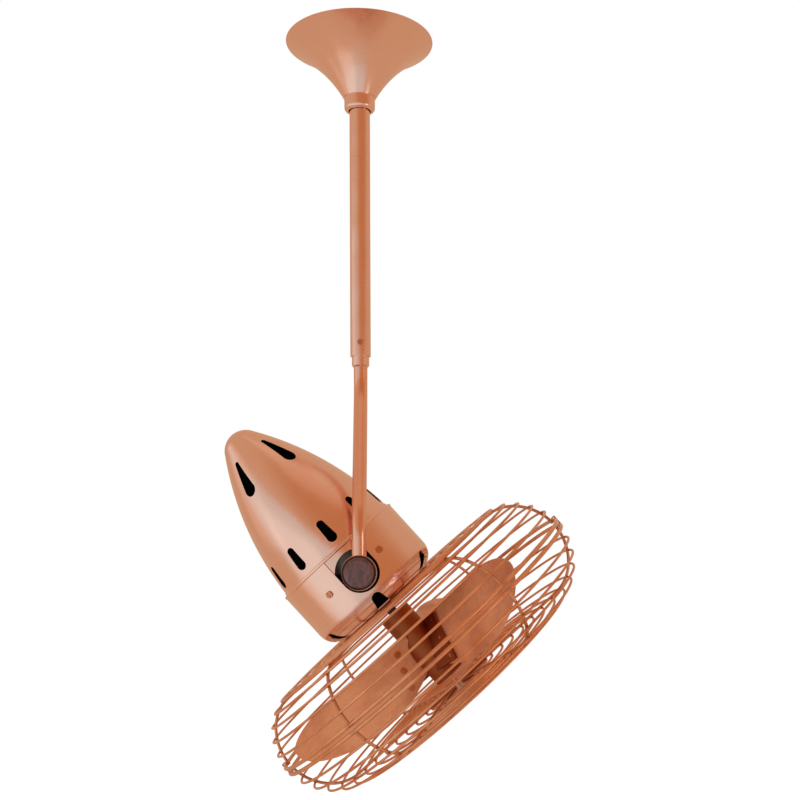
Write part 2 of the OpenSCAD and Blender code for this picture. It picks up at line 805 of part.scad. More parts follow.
module motor_rear_cover() {
    seat_r = bearing_r + seat_wall;
    plate_in = core_back - rear_depth;
    color(cast) difference() {
        rotate_extrude() polygon([[motor_r, core_back], [motor_r, rear_face], [seat_r, rear_face],
            [seat_r, rear_seat - 2], [shaft_r + 2, rear_seat - 2], [shaft_r + 2, rear_seat],
            [bearing_r + snug, rear_seat], [bearing_r + snug, rear_seat + bearing_w + 1],
            [seat_r, rear_seat + bearing_w + 1], [seat_r, plate_in], [motor_r - cover_wall, plate_in],
            [motor_r - cover_wall, core_back]]);
        for (i = [0 : 3]) rotate([0, 0, 90 * i]) translate([bolt_at, 0, rear_face - 1])
            cylinder(r = m4 + snug, h = rear_plate + 2);
    }
}

module motor_bolts() {
    color(steel) for (i = [0 : 3]) rotate([0, 0, 90 * i]) translate([bolt_at, 0, rear_face]) {
        cylinder(r = m4, h = motor_front - cover_plate + 1.5 - rear_face);
        translate([0, 0, -3]) cylinder(r = hex_r, h = 3, $fn = 6);
    }
}

module bearing() {
    groove = 0.8;
    mid = (bearing_r + shaft_r) / 2;
    color(steel) difference() {
        tube(bearing_r, shaft_r + run, bearing_w);
        for (z = [-1, bearing_w - groove]) translate([0, 0, z]) tube(mid + 1.7, mid - 1.7, groove + 1);
    }
}

module capacitor() {
    color([0.2, 0.2, 0.22]) translate([0, 0, rear_seat - capacitor_gap - capacitor_l]) {
        cylinder(r = capacitor_r, h = capacitor_l);
        for (side = [-1, 1]) translate([side * 5 - 0.4, -3, -6]) cube([0.8, 6, 7]);
    }
}

module capacitor_clip() {
    grip_at = rear_seat - capacitor_gap - capacitor_l / 2;
    foot_r = 22;
    strap_w = 10;
    strap_t = 1.2;
    foot_l = 8;
    low = grip_at - strap_w / 2;
    color(steel) {
        translate([0, 0, low]) tube(capacitor_r + strap_t, capacitor_r + snug, strap_w);
        for (side = [0, 180]) rotate([0, 0, 45 + side]) {
            translate([capacitor_r + strap_t / 2, -strap_w / 2, low])
                cube([foot_r - capacitor_r - strap_t / 2, strap_w, strap_t]);
            translate([foot_r - strap_t, -strap_w / 2, low]) cube([strap_t, strap_w, rear_face - low]);
            translate([foot_r - strap_t, -strap_w / 2, rear_face - strap_t]) cube([foot_l, strap_w, strap_t]);
        }
    }
}

module motor_shaft() {
    chamfer = 1;
    shaft_back = rear_seat + 1;
    shaft_front = hub_front - 1;
    color(steel) rotate_extrude() polygon([[0, shaft_back], [shaft_r - chamfer, shaft_back],
        [shaft_r, shaft_back + chamfer], [shaft_r, shaft_front - chamfer], [shaft_r - chamfer, shaft_front],
        [0, shaft_front]]);
}

module rotor_core() {
    color(dark_steel) {
        translate([0, 0, core_back]) tube(rotor_r, shaft_r + run, core_l);
    }
}

// Guard
module guard_rings() {
    for (i = [0 : ring_count - 1]) {
        p = guard_pt(rim_off + i * ring_step);
        rotate_extrude($fn = 96) translate([p[0], p[1]]) circle(i == 0 ? rim_wire / 2 : ring_wire / 2, $fn = 16);
    }
}

// One rib from the rim to the middle, lying under the rings, along local +X
module guard_rib(inner) {
    start_a = asin(1.8 / guard_side);
    side = guard_side - rib_off;
    corner = guard_corner - rib_off;
    translate([side_c, 0, 0]) rotate([90, 0, 0]) rotate([0, 0, start_a])
        rotate_extrude(angle = join_a - start_a) translate([side, 0]) circle(rib_wire / 2, $fn = 16);
    translate([corner_c, 0, guard_half - guard_corner]) rotate([90, 0, 0]) rotate([0, 0, join_a - lap_a])
        rotate_extrude(angle = 90 - join_a + 2 * lap_a) translate([corner, 0]) circle(rib_wire / 2 - hair, $fn = 16);
    translate([inner, 0, rib_plane]) rotate([0, 90, 0]) cylinder(r = rib_wire / 2, h = corner_c - inner, $fn = 16);
}

module guard_half_shell(inner) {
    guard_rings();
    for (i = [0 : rib_count - 1]) rotate([0, 0, i * 360 / rib_count]) guard_rib(inner);
}

module rear_guard() {
    color(copper) difference() {
        union() {
            translate([0, 0, guard_mid]) rotate([180, 0, 0]) guard_half_shell(mount_hole_r + 4);
            translate([0, 0, mount_face - mount_t]) cylinder(r = plate_r, h = mount_t);
        }
        translate([0, 0, mount_face - mount_t - 1]) cylinder(r = mount_hole_r, h = mount_t + 8);
        at_guard_screws() translate([0, 0, mount_face - mount_t - 1]) cylinder(r = m4 + snug, h = mount_t + 2);
    }
}

module front_guard() {
    color(copper) difference() {
        union() {
            translate([0, 0, guard_mid]) guard_half_shell(10);
            translate([0, 0, plate_s]) cylinder(r = plate_r, h = front_plate_t);
        }
        translate([0, 0, plate_s - 10]) cylinder(r = m4 + snug, h = 20);
    }
}

module guard_clips() {
    lip = 1;
    half = rim_off + rim_wire / 2 + fit;
    depth = rim_wire / 2 + 0.7;
    out = guard_r + rim_wire / 2 + fit;
    color(copper) for (i = [0 : clip_count - 1]) rotate([0, 0, i * 360 / clip_count])
        translate([out - depth, -clip_w / 2, guard_mid - half - lip]) difference() {
            cube([depth + lip, clip_w, 2 * (half + lip)]);
            translate([-1, -1, lip]) cube([depth + 1, clip_w + 2, 2 * half]);
        }
}

module guard_cap() {
    base = plate_s + front_plate_t;
    color(copper) {
        translate([0, 0, base]) rotate_extrude() {
            polygon([[0, 0], [plate_r - 3, 0], [plate_r - 3, 0.8], [plate_r - 10, 2.2], [0, 2.8]]);
        }
        translate([0, 0, base - 9]) cylinder(r = m4, h = 9 + eps);
    }
}

module guard_gasket() {
    color([0.12, 0.12, 0.12]) difference() {
        translate([0, 0, bowl_front]) tube(plate_r, mount_hole_r, gasket_t);
        at_guard_screws() cylinder(r = m4 + snug, h = far);
    }
}

module guard_screws() {
    color(steel) at_guard_screws() {
        translate([0, 0, motor_front - cover_plate]) cylinder(r = m4, h = mount_face - motor_front + cover_plate + eps);
        translate([0, 0, mount_face]) cylinder(r = m4_head, h = m4_head_t);
    }
}

// Rotor
module blade_outline() {
    root_r = 10;
    front_up = [for (i = [0 : 6]) [root_r + (front_peak - root_r) * i / 6,
        root_front + (front_edge - root_front) * sin(90 * i / 6)]];
    front_tip = [for (i = [1 : 14]) [front_peak + (blade_tip_r - front_peak) * sin(90 * i / 14),
        tip_c + (front_edge - tip_c) * cos(90 * i / 14)]];
    rear_tip = [for (i = [1 : 11]) [rear_peak + (blade_tip_r - rear_peak) * cos(90 * i / 12),
        tip_c - (rear_edge + tip_c) * sin(90 * i / 12)]];
    rear_root = [[rear_peak, -rear_edge], [(rear_peak + root_r) / 2, root_rear - (rear_edge + root_rear) * 0.7],
        [root_r, root_rear]];
    polygon(concat(front_up, front_tip, rear_tip, rear_root));
}

// Curved sheet between two radii about the camber's axis, under an outline drawn in the blade's plane
module camber_sheet(inner, outer) {
    intersection() {
        translate([0, 0, -20]) linear_extrude(height = 50) children();
        translate([-10, 0, camber_r]) rotate([0, 90, 0]) tube_fine(outer, inner, far);
    }
}

module tube_fine(outer, inner, h) {
    difference() {
        cylinder(r = outer, h = h, $fn = 360);
        translate([0, 0, -1]) cylinder(r = inner, h = h + 2, $fn = 360);
    }
}

// Places children at each blade screw, with +Z along the screw towards its head
module blade_screw_places() {
    for (i = [-1 : 1]) translate([lug_reach - screw_inset + (i - 1) * lug_slant / 2, 0, camber_r])
        rotate([asin(i * screw_gap / camber_r), 0, 0]) translate([0, 0, -camber_r]) children();
}

module in_blade(i) {
    rotate([0, 0, blade_turn + i * 360 / blade_count]) translate([0, 0, blade_mid]) rotate([blade_pitch, 0, 0])
        children();
}

module blade(i) {
    color([0.8, 0.49, 0.32]) difference() {
        in_blade(i) difference() {
            camber_sheet(camber_r, camber_r + blade_t) blade_outline();
            blade_screw_places() translate([0, 0, -10]) cylinder(r = m4 + snug, h = 20, $fn = 32);
        }
        cylinder(r = blade_root_r, h = far);
    }
}

module blade_hub() {
    under = camber_r + blade_t + lug_gap;
    color(copper) difference() {
        union() {
            translate([0, 0, hub_back]) cylinder(r = hub_r, h = hub_l);
            for (i = [0 : blade_count - 1]) in_blade(i) difference() {
                camber_sheet(under, under + lug_t)
                    polygon([[0, -lug_w / 2], [lug_reach - lug_slant, -lug_w / 2], [lug_reach, lug_w / 4],
                        [lug_reach, lug_w / 2], [0, lug_w / 2]]);
                blade_screw_places() translate([0, 0, -10]) cylinder(r = m4 + snug, h = 20, $fn = 32);
            }
        }
        translate([0, 0, hub_back - 1]) cylinder(r = shaft_r + snug, h = hub_l + 2);
        translate([0, 0, hub_front - nut_pocket]) cylinder(r = nut_pocket_r, h = nut_pocket + 1);
        rotate([0, 0, 180 + blade_turn]) translate([0, 0, set_screw_s]) rotate([0, 90, 0])
            cylinder(r = m5 + snug, h = far);
    }
}

module blade_screws() {
    color(steel) for (i = [0 : blade_count - 1]) in_blade(i) blade_screw_places() {
        translate([0, 0, -blade_t - lug_gap - lug_t]) cylinder(r = m4, h = blade_t + lug_gap + lug_t + 0.1, $fn = 32);
        translate([0, 0, 0.1]) cylinder(r = m4_head, h = m4_head_t, $fn = 32);
    }
}

module hub_nut() {
    color(steel) translate([0, 0, hub_front - nut_pocket]) difference() {
        cylinder(r = 9.4, h = nut_t, $fn = 6);
        translate([0, 0, -1]) cylinder(r = shaft_r + run, h = nut_t + 2);
    }
}

module hub_set_screw() {
    color(steel) rotate([0, 0, 180 + blade_turn]) translate([shaft_r + snug, 0, set_screw_s]) rotate([0, 90, 0])
        cylinder(r = m5, h = hub_r - shaft_r - 1);
}

hanger_bracket();
terminal_block();
hanger_ball();
ball_pin();
downrod();
rod_coupler();
coupler_screw();
coupler_nut();
arm_tube();
canopy();
canopy_collar();
collar_screw();
in_head() rear_cone();
in_head() front_bowl();
in_head() joining_ring();
in_head() rear_screen();
in_head() front_screen();
in_head() cone_screws();
in_head() bowl_screws();
in_head() pivot_bracket();
in_head() pivot_stud();
in_head() friction_washer();
in_head() spring_washer();
in_head() stator_core();
in_head() stator_winding();
in_head() motor_front_cover();
in_head() motor_rear_cover();
in_head() motor_bolts();
in_head() translate([0, 0, front_seat - bearing_w]) bearing();  // front_bearing
in_head() translate([0, 0, rear_seat]) bearing();  // rear_bearing
in_head() capacitor();
in_head() capacitor_clip();
in_head() guard_gasket();
in_head() guard_screws();
in_head() rear_guard();
in_head() front_guard();
in_head() guard_clips();
in_head() guard_cap();
in_head() motor_shaft();
in_head() rotor_core();
in_head() blade_hub();
in_head() blade(0);  // blade_1
in_head() blade(1);  // blade_2
in_head() blade(2);  // blade_3
in_head() blade_screws();
in_head() hub_nut();
in_head() hub_set_screw();
in_head() knob_grip();
in_head() knob_cup();
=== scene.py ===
# %% [markdown]
# A hanging fan with a tilting, caged head, finished in brushed copper. The solid parts come from the CAD
# frame, already in place and in metres. This lesson dresses them. It sets a camera and a soft light that
# match the photograph, makes each finish from nodes, gives every solid the finish of its real piece, and
# adds two thin forms.

# %% Load the frame
import json
import math
import bpy
from mathutils import Matrix, Vector


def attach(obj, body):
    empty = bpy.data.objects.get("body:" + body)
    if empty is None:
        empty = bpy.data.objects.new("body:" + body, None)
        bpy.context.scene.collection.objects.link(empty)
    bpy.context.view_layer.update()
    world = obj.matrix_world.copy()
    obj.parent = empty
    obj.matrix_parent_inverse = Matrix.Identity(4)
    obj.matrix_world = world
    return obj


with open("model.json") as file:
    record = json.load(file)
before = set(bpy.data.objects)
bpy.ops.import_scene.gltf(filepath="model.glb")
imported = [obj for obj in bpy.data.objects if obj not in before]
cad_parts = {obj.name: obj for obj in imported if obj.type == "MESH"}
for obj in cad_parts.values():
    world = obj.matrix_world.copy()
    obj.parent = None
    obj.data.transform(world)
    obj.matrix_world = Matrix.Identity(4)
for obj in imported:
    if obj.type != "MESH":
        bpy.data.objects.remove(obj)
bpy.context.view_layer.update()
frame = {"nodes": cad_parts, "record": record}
nodes = frame["nodes"]
print("pieces in the frame:", len(nodes))

# %% [markdown]
# The fan spins about the head's slanted axis, and most parts of the head were turned about that axis. It
# could be typed in again here, but then it could differ from the CAD. So the spin joint of the record gives
# it, and HEAD is a frame whose origin lies on the axis and whose Z runs along it, out of the front.

# %% The head's own frame
spin = next(joint for joint in frame["record"]["behaviour"]["joints"] if joint["name"] == "fan_spin")
forward = Vector(spin["axis"]).normalized()
sideways = Vector((0.0, 1.0, 0.0))
HEAD = Matrix((sideways.cross(forward), sideways, forward)).transposed().to_4x4()
HEAD.translation = Vector(spin["pos_m"])
print("head axis:", [round(x, 3) for x in forward])

# %% [markdown]
# The photograph was taken level with the pivot, with the frame shifted up to take in the whole rod. Tilting
# the camera up would make the rod lean, so the shift is set instead. A lens of about 50 mm on a 36 mm
# sensor gives the same drawing of the oval canopy and of the guard. The place, the small turns and the
# shift were found by laying the outline of the solids over the photograph's.

# %% Camera
LENS_MM = 50.14
SENSOR_MM = 36.0
SHIFT = (-0.0319, 0.2013)
CAMERA_PLACE = (0.026, -1.1454, -0.531)
PAN = math.radians(-2.0)
ROLL = math.radians(-0.2)
scene = bpy.context.scene
camera = bpy.data.objects.new("camera", bpy.data.cameras.new("camera"))
camera.data.sensor_width = SENSOR_MM
camera.data.lens = LENS_MM
camera.data.shift_x, camera.data.shift_y = SHIFT
camera.data.clip_start = 0.05
camera.matrix_world = (Matrix.Translation(CAMERA_PLACE) @ Matrix.Rotation(PAN, 4, "Z")
                       @ Matrix.Rotation(math.radians(90), 4, "X") @ Matrix.Rotation(ROLL, 4, "Z"))
scene.collection.objects.link(camera)
scene.camera = camera
scene.view_settings.view_transform = "Standard"
print("camera at", [round(x, 3) for x in camera.matrix_world.translation])

# %% [markdown]
# Colours are easiest to compare with a photograph on the scale from 0 to 255, but shaders work with linear
# light. One helper turns the first into the second, so every colour below can be written as it is seen.

# %% Colours as they are seen
WHITE = (1.0, 1.0, 1.0, 1.0)


def linear(red, green, blue):
    """A colour from the 0 to 255 scale as linear red, green, blue and alpha."""
    def one(value):
        value /= 255.0
        return value / 12.92 if value <= 0.04045 else ((value + 0.055) / 1.055) ** 2.4
    return (one(red), one(green), one(blue), 1.0)


print("middle grey is", round(linear(128, 128, 128)[0], 3), "in linear light")

# %% [markdown]
# Node trees are long when each node takes four lines. Two helpers make a node and wire two sockets, so that
# the recipes below read like the finish they describe. Names of inputs are given as plain words, with a low
# line for each space.

# %% Helpers: make and wire nodes
def add(tree, kind, **values):
    """A new node. Each value sets the input of that name, or the property where no input has it."""
    node = tree.nodes.new(kind)
    for key, value in values.items():
        label = key.replace("_", " ")
        if label in node.inputs:
            node.inputs[label].default_value = value
        else:
            setattr(node, key, value)
    return node


def link(tree, source, target):
    """Wire an output to an input."""
    tree.links.new(source, target)


print("nodes can be made and wired")

# %% [markdown]
# A few small steps come back in every material: a sum, a mix of two colours, a ramp of colours, a mask that
# moves a value, and relief from a height. Each gets a helper that returns the socket to wire on.

# %% Helpers: sums, colours and relief
def calculate(tree, operation, *values):
    """One operation of the Math node on sockets or plain numbers."""
    node = add(tree, "ShaderNodeMath", operation=operation)
    for socket, value in zip(node.inputs, values):
        if isinstance(value, float):
            socket.default_value = value
        else:
            link(tree, value, socket)
    return node.outputs[0]


def between(tree, first, second, mask):
    """A colour that goes from the first to the second with a mask. Either is a plain colour or a socket."""
    node = add(tree, "ShaderNodeMix", data_type="RGBA")
    for name, colour in (("A", first), ("B", second)):
        if isinstance(colour, tuple):
            node.inputs[name].default_value = colour
        else:
            link(tree, colour, node.inputs[name])
    link(tree, mask, node.inputs["Factor"])
    return node.outputs["Result"]


def ramp(tree, value, *stops):
    """A colour read from a ramp. Each stop is a place from 0 to 1 and its colour, in rising order."""
    node = add(tree, "ShaderNodeValToRGB")
    points = node.color_ramp.elements
    while len(points) < len(stops):
        points.new(0.5)
    for point, (place, colour) in zip(points, stops):
        point.position = place
        point.color = colour
    link(tree, value, node.inputs[0])
    return node.outputs[0]


def spread(tree, mask, low, high):
    """A value that goes from low to high as a mask goes from 0 to 1."""
    node = add(tree, "ShaderNodeMapRange", To_Min=low, To_Max=high)
    link(tree, mask, node.inputs["Value"])
    return node.outputs[0]


def relief(tree, height, strength, distance, under=None):
    """A normal with low relief, laid over another normal where one is given."""
    node = add(tree, "ShaderNodeBump", Strength=strength, Distance=distance)
    link(tree, height, node.inputs["Height"])
    if under:
        link(tree, under, node.inputs["Normal"])
    return node.outputs[0]


print("sums, colours and relief ready")

# %% [markdown]
# Copper is a mirror first of all, so its look depends on what stands round it. In the photograph the pale
# patches have the plain colour of copper, so there it mirrors something white: a wide soft panel, low on
# the left. Between them it is a deep orange, where it mirrors warm things. Painting those patches on the
# copper would fix them to it. Instead the world gives reflections a warm room with that panel. The panel is
# a product of four soft masks, one for each edge, and each mask looks at how far a direction points one
# way.

# %% World: the room that the copper mirrors
PANEL = linear(214, 215, 214)
WARM = linear(208, 172, 142)
WARM_DEEP = linear(194, 133, 87)
PANEL_EDGES = (((-0.3, 0.0, -0.954), -0.09, 0.04),
               ((-0.132, -0.861, 0.492), -0.15, 0.2),
               ((-1.0, 0.0, 0.0), -0.6, -0.25),
               ((0.0, 0.0, -1.0), -0.42, -0.15))
DEEP_SIDE = ((0.35, -0.75, 0.55), 0.5, 0.95)

world = bpy.data.worlds.new("studio")
scene.world = world
world.use_nodes = True
sky = world.node_tree
sky.nodes.clear()
looking = add(sky, "ShaderNodeTexCoord").outputs["Generated"]


def facing(direction, start, end):
    """A soft mask of where one looks, from 0 to 1 as the share along a direction goes from start to end."""
    share = add(sky, "ShaderNodeVectorMath", operation="DOT_PRODUCT")
    share.inputs[1].default_value = direction
    link(sky, looking, share.inputs[0])
    soft = add(sky, "ShaderNodeMapRange", interpolation_type="SMOOTHSTEP", From_Min=start, From_Max=end)
    link(sky, share.outputs["Value"], soft.inputs["Value"])
    return soft.outputs[0]


upper, lower, right, top = [facing(*edge) for edge in PANEL_EDGES]
slanted_band = calculate(sky, "MULTIPLY", upper, lower)
left_part = calculate(sky, "MULTIPLY", right, top)
panel = calculate(sky, "MULTIPLY", slanted_band, left_part)
warm = between(sky, WARM, WARM_DEEP, facing(*DEEP_SIDE))
mirrored = add(sky, "ShaderNodeBackground")
link(sky, between(sky, warm, PANEL, panel), mirrored.inputs["Color"])
print("mirrored room:", len(sky.nodes), "nodes")

# %% [markdown]
# The page behind the fan is pure white, and matt surfaces should still get a plain level of light. One
# background can't do both, so the world sorts its rays: the camera sees white, reflections see the room
# above, and everything else gets an even white of three quarters.

# %% World: what each kind of ray meets
MATT_LIGHT = 0.75
lit = add(sky, "ShaderNodeBackground", Color=WHITE, Strength=MATT_LIGHT)
seen = add(sky, "ShaderNodeBackground", Color=WHITE)
ray = add(sky, "ShaderNodeLightPath").outputs
bounced = add(sky, "ShaderNodeMixShader")
link(sky, ray["Is Glossy Ray"], bounced.inputs["Fac"])
link(sky, lit.outputs[0], bounced.inputs[1])
link(sky, mirrored.outputs[0], bounced.inputs[2])
sorted_rays = add(sky, "ShaderNodeMixShader")
straight = calculate(sky, "MAXIMUM", ray["Is Camera Ray"], ray["Is Transmission Ray"])
link(sky, straight, sorted_rays.inputs["Fac"])
link(sky, bounced.outputs[0], sorted_rays.inputs[1])
link(sky, seen.outputs[0], sorted_rays.inputs[2])
link(sky, sorted_rays.outputs[0], add(sky, "ShaderNodeOutputWorld").inputs["Surface"])
print("world:", len(sky.nodes), "nodes")

# %% [markdown]
# Four soft boxes add form and shadow to that even light: a large one low on the left, where the panel is,
# one at the left side, a narrow one on the right for the far blade, and one overhead, which throws the
# shadow on the floor. They are weak, because a strong lamp would turn the copper's streaks white.

# %% Lamps
# Each lamp: its name, place, aim, width and height in metres, and watts.
SOFT_BOXES = (("key_box", (-0.9, -0.76, -1.05), (0.0, 0.0, -0.5), (1.2, 1.2), 0.8),
              ("side_box", (-1.39, -0.05, -0.4), (0.0, 0.0, -0.4), (1.1, 1.2), 0.5),
              ("right_box", (1.35, -0.95, -0.65), (0.0, 0.0, -0.5), (0.5, 0.8), 1.6),
              ("top_box", (0.3, -0.6, 1.6), (0.05, 0.0, -0.5), (1.6, 1.6), 1.0))


def soft_box(name, place, aim, size, power):
    """A rectangular lamp at place that faces aim."""
    data = bpy.data.lights.new(name, "AREA")
    data.shape = "RECTANGLE"
    data.size, data.size_y = size
    data.energy = power
    lamp = bpy.data.objects.new(name, data)
    lamp.location = place
    lamp.rotation_euler = (Vector(aim) - Vector(place)).to_track_quat("-Z", "Y").to_euler()
    scene.collection.objects.link(lamp)


for box in SOFT_BOXES:
    soft_box(*box)
print("lamps:", [box[0] for box in SOFT_BOXES])

# %% [markdown]
# Every material starts the same way, with the Principled shader set to plain values. The helper returns the
# material with its tree and shader, because each recipe goes on to wire those.

# %% Helper for materials
def new_finish(name, metallic, roughness, colour):
    """A material, its node tree and its Principled shader, set to plain values."""
    material = bpy.data.materials.new(name)
    material.use_nodes = True
    shader = material.node_tree.nodes["Principled BSDF"]
    shader.inputs["Metallic"].default_value = metallic
    shader.inputs["Roughness"].default_value = roughness
    shader.inputs["Base Color"].default_value = colour
    material.diffuse_color = colour
    return material, material.node_tree, shader


print("materials start from the Principled shader")

# %% [markdown]
# A pale floor lies well below the fan, as in a room, and catches its soft shadow. It is one large square,
# because its edges must stay out of every view. To the camera it gets a little light of its own, enough to
# reach white where nothing shades it. Reflections pass it and show the room instead.

# %% Floor
FLOOR_Z = -2.15
FLOOR_HALF = 12.0
FLOOR_LIFT = 0.4
corners = [(x * FLOOR_HALF, y * FLOOR_HALF, FLOOR_Z) for x, y in ((-1, -1), (1, -1), (1, 1), (-1, 1))]
floor_mesh = bpy.data.meshes.new("floor")
floor_mesh.from_pydata(corners, [], [(0, 1, 2, 3)])
floor = bpy.data.objects.new("floor", floor_mesh)
scene.collection.objects.link(floor)
floor_paint, tree, shader = new_finish("floor_paint", 0.0, 0.9, (0.93, 0.93, 0.93, 1.0))
shader.inputs["Specular IOR Level"].default_value = 0.1
shader.inputs["Emission Color"].default_value = WHITE
ray = add(tree, "ShaderNodeLightPath").outputs
link(tree, calculate(tree, "MULTIPLY", ray["Is Camera Ray"], FLOOR_LIFT), shader.inputs["Emission Strength"])
passed = add(tree, "ShaderNodeMixShader")
link(tree, ray["Is Glossy Ray"], passed.inputs["Fac"])
link(tree, shader.outputs[0], passed.inputs[1])
link(tree, add(tree, "ShaderNodeBsdfTransparent").outputs[0], passed.inputs[2])
link(tree, passed.outputs[0], tree.nodes["Material Output"].inputs["Surface"])
floor_mesh.materials.append(floor_paint)
print("floor at", FLOOR_Z)

# %% [markdown]
# Patterns that several materials share are node groups, built once. A group has named inputs and outputs,
# and inside it lie noises, distances and the limits that turn a value into a mask. These helpers make those
# parts.

# %% Helpers: groups and patterns
def group_sockets(group, inputs, outputs):
    """Give a node group its inputs and outputs, and return its two end nodes."""
    for name, kind, value in inputs:
        socket = group.interface.new_socket(name=name, in_out="INPUT", socket_type=kind)
        if value is not None:
            socket.default_value = value
    for name in outputs:
        group.interface.new_socket(name=name, in_out="OUTPUT", socket_type="NodeSocketFloat")
    return group.nodes.new("NodeGroupInput").outputs, group.nodes.new("NodeGroupOutput").inputs


def radius_of(tree, x, y):
    """The distance from the Z axis as a socket, with the flat vector that it was measured on."""
    flat = add(tree, "ShaderNodeCombineXYZ")
    link(tree, x, flat.inputs["X"])
    link(tree, y, flat.inputs["Y"])
    length = add(tree, "ShaderNodeVectorMath", operation="LENGTH")
    link(tree, flat.outputs[0], length.inputs[0])
    return length.outputs["Value"], flat.outputs[0]


def noise(tree, where, scale, **values):
    """A noise read at a place. Its scale is a plain number or a socket."""
    node = add(tree, "ShaderNodeTexNoise", **values)
    link(tree, where, node.inputs["Vector"])
    if isinstance(scale, float):
        node.inputs["Scale"].default_value = scale
    else:
        link(tree, scale, node.inputs["Scale"])
    return node.outputs[0]


def limits(tree, value, start, end):
    """A mask from 0 to 1 while a value goes from start to end."""
    node = add(tree, "ShaderNodeMapRange", From_Min=start, From_Max=end)
    link(tree, value, node.inputs["Value"])
    return node.outputs[0]


print("groups and patterns ready")

# %% [markdown]
# Copper sheet that is spun or turned keeps fine lines that run round it. They could be modelled as rings,
# but they are far finer than any mesh. A line depends only on the radius and on the place along the axis,
# so noise is read at those two numbers, stretched far along them and hardly at all round the part. The
# group gives the lines and a slow drift of tone.

# %% Group: lines left by turning
ROUND_STRETCH = 0.0006
turned = bpy.data.node_groups.new("turned_lines", "ShaderNodeTree")
given, wanted = group_sockets(turned, [("Vector", "NodeSocketVector", None),
                                       ("Lines per metre", "NodeSocketFloat", 2500.0),
                                       ("Drift scale", "NodeSocketFloat", 9.0)], ["Lines", "Drift"])
split = add(turned, "ShaderNodeSeparateXYZ")
link(turned, given["Vector"], split.inputs[0])
radius, flat = radius_of(turned, split.outputs["X"], split.outputs["Y"])
around = add(turned, "ShaderNodeVectorMath", operation="NORMALIZE")
link(turned, flat, around.inputs[0])
bend = add(turned, "ShaderNodeSeparateXYZ")
link(turned, around.outputs[0], bend.inputs[0])
place = add(turned, "ShaderNodeCombineXYZ")
link(turned, radius, place.inputs["X"])
link(turned, split.outputs["Z"], place.inputs["Y"])
link(turned, calculate(turned, "MULTIPLY", bend.outputs["X"], ROUND_STRETCH), place.inputs["Z"])
lines = noise(turned, place.outputs[0], given["Lines per metre"], Detail=3.0, Roughness=0.7)
link(turned, lines, wanted["Lines"])
drift = noise(turned, given["Vector"], given["Drift scale"], Detail=2.0, Roughness=0.5)
link(turned, drift, wanted["Drift"])
print("group:", turned.name, len(turned.nodes), "nodes")

# %% [markdown]
# Lacquered metal that people touch picks up faint smudges and dust. A painted mask would need an image, so
# noise makes it. The group puts out a soft mask of clouds and a mask of fine specks, and any finish can
# turn a little duller or darker where they are high.

# %% Group: smudges
SPECK_SCALE = 900.0
smudges = bpy.data.node_groups.new("smudges", "ShaderNodeTree")
given, wanted = group_sockets(smudges, [("Vector", "NodeSocketVector", None),
                                        ("Scale", "NodeSocketFloat", 14.0)], ["Mask", "Speck"])
cloud = noise(smudges, given["Vector"], given["Scale"], Detail=5.0, Roughness=0.65)
link(smudges, limits(smudges, cloud, 0.42, 0.72), wanted["Mask"])
fine = noise(smudges, given["Vector"], SPECK_SCALE, Detail=2.0)
link(smudges, limits(smudges, fine, 0.55, 0.75), wanted["Speck"])


def place_smudges(tree, where, scale=14.0):
    """The smudge group put into a material, by its outputs."""
    node = add(tree, "ShaderNodeGroup", node_tree=smudges, Scale=scale)
    link(tree, where, node.inputs["Vector"])
    return node.outputs


print("group:", smudges.name, len(smudges.nodes), "nodes")

# %% [markdown]
# Turning lines run round the axis of each piece, so a finish has to know that axis. Object coordinates do
# for the rod and the canopy, which stand on the part's own Z. For the head they are mapped into its slanted
# frame.

# %% Where a finish is measured
def own_place(tree, about=None):
    """Object coordinates, turned so that Z is the axis of a frame."""
    coords = add(tree, "ShaderNodeTexCoord").outputs["Object"]
    if about is None:
        return coords
    back = about.inverted()
    turn = add(tree, "ShaderNodeMapping", vector_type="POINT", Rotation=back.to_euler("XYZ"),
               Location=back.translation)
    link(tree, coords, turn.inputs["Vector"])
    return turn.outputs[0]


print("head frame at", [round(x, 3) for x in HEAD.translation])

# %% [markdown]
# The brushed copper is one recipe with a few settings: which axis the piece was turned about, how fine its
# lines are, and how pale and how deep its colour runs. A plain copper with an even roughness would look
# painted. So the lines mix two close tones and move the roughness, low waves bend the reflections as thin
# spun sheet does, and a clear coat gives the lacquer. A stain can darken it in patches.

# %% Recipe: turned metal
LINE_SHARE = 0.55
DRIFT_SHARE = 0.45
DULLED = 0.08
WAVES_PER_METRE = 22.0


